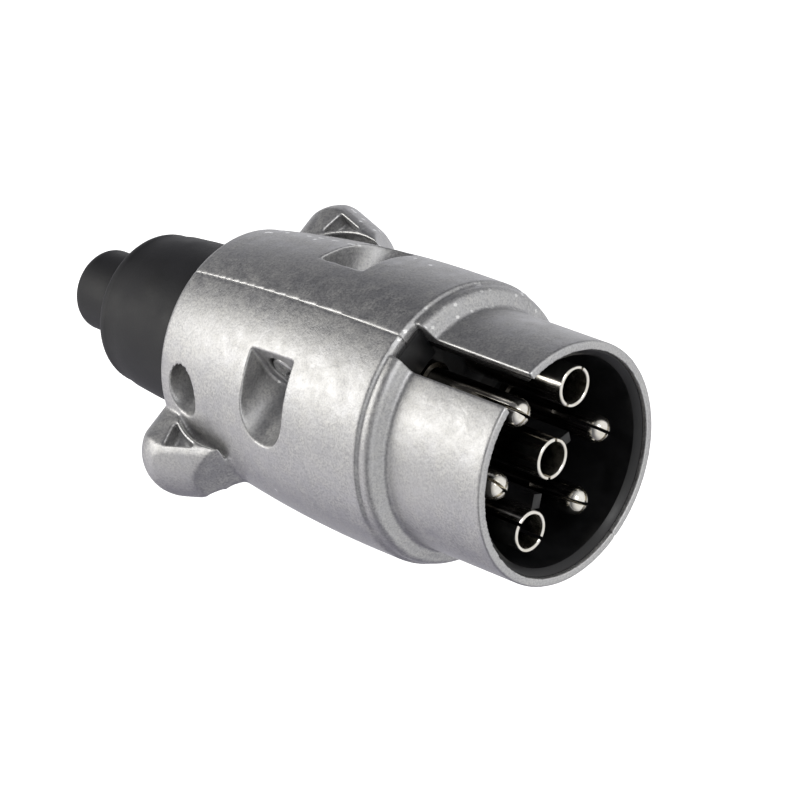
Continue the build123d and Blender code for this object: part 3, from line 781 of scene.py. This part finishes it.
def soft_light(name, direction, distance, size, power, tint=(1, 1, 1)):
    """Soft box that faces the middle of the part from a direction."""
    lamp = bpy.data.lights.new(name, "AREA")
    lamp.shape = "RECTANGLE"
    lamp.size, lamp.size_y = size
    lamp.energy = power
    lamp.color = tint
    light = bpy.data.objects.new(name, lamp)
    bpy.context.scene.collection.objects.link(light)
    direction = Vector(direction).normalized()
    light.location = Vector((-0.05, 0, 0)) + direction * distance
    light.rotation_euler = direction.to_track_quat("Z", "Y").to_euler()


def build_light():
    """Dim studio with pale patches round the part, a warm soft box behind on the left, a small one ahead."""
    world = bpy.data.worlds.new("studio")
    world.use_nodes = True
    tree = world.node_tree
    shell = tree.nodes["Background"]
    look = tree.nodes.new("ShaderNodeTexCoord").outputs["Generated"]
    glow = None
    for direction, inner, outer, colour in ROOM:
        dot = tree.nodes.new("ShaderNodeVectorMath")
        dot.operation = "DOT_PRODUCT"
        tree.links.new(look, dot.inputs[0])
        dot.inputs[1].default_value = Vector(direction).normalized()
        fall = tree.nodes.new("ShaderNodeMapRange")
        fall.interpolation_type = "SMOOTHSTEP"
        fall.inputs["From Min"].default_value = math.cos(math.radians(outer))
        fall.inputs["From Max"].default_value = math.cos(math.radians(inner))
        tree.links.new(dot.outputs["Value"], fall.inputs["Value"])
        patch = tree.nodes.new("ShaderNodeVectorMath")
        patch.operation = "SCALE"
        patch.inputs[0].default_value = colour
        tree.links.new(fall.outputs["Result"], patch.inputs["Scale"])
        total = tree.nodes.new("ShaderNodeVectorMath")
        total.operation = "ADD"
        tree.links.new(patch.outputs[0], total.inputs[0])
        if glow is None:
            total.inputs[1].default_value = (0.13, 0.13, 0.14)
        else:
            tree.links.new(glow, total.inputs[1])
        glow = total.outputs[0]
    tree.links.new(glow, shell.inputs["Color"])
    paper = tree.nodes.new("ShaderNodeBackground")
    paper.inputs["Color"].default_value = (1.0, 1.0, 1.0, 1.0)
    seen = tree.nodes.new("ShaderNodeLightPath")
    both = tree.nodes.new("ShaderNodeMixShader")
    tree.links.new(seen.outputs["Is Camera Ray"], both.inputs["Fac"])
    tree.links.new(shell.outputs["Background"], both.inputs[1])
    tree.links.new(paper.outputs["Background"], both.inputs[2])
    tree.links.new(both.outputs["Shader"], tree.nodes["World Output"].inputs["Surface"])
    bpy.context.scene.world = world
    soft_light("key", (-0.66, -0.38, 0.65), 0.9, (0.55, 0.5), 2.7, (1.0, 0.985, 0.93))
    soft_light("front", (0.75, 0.10, 0.60), 0.9, (0.3, 0.3), 0.9)


def build_camera():
    lens = bpy.data.cameras.new("camera")
    lens.lens = 176.27
    lens.sensor_width = 36.0
    lens.clip_end = 50
    camera = bpy.data.objects.new("camera", lens)
    bpy.context.scene.collection.objects.link(camera)
    right = Vector((0.711785, 0.569978, -0.410472))
    up = Vector((-0.272639, 0.762765, 0.586394))
    back = right.cross(up)
    turned = Matrix((right, up, back)).transposed().to_4x4()
    camera.matrix_world = Matrix.Translation((0.39077, -0.20244, 0.46309)) @ turned
    bpy.context.scene.camera = camera


build_floor()
build_light()
build_camera()
bpy.context.scene.view_settings.view_transform = "Standard"
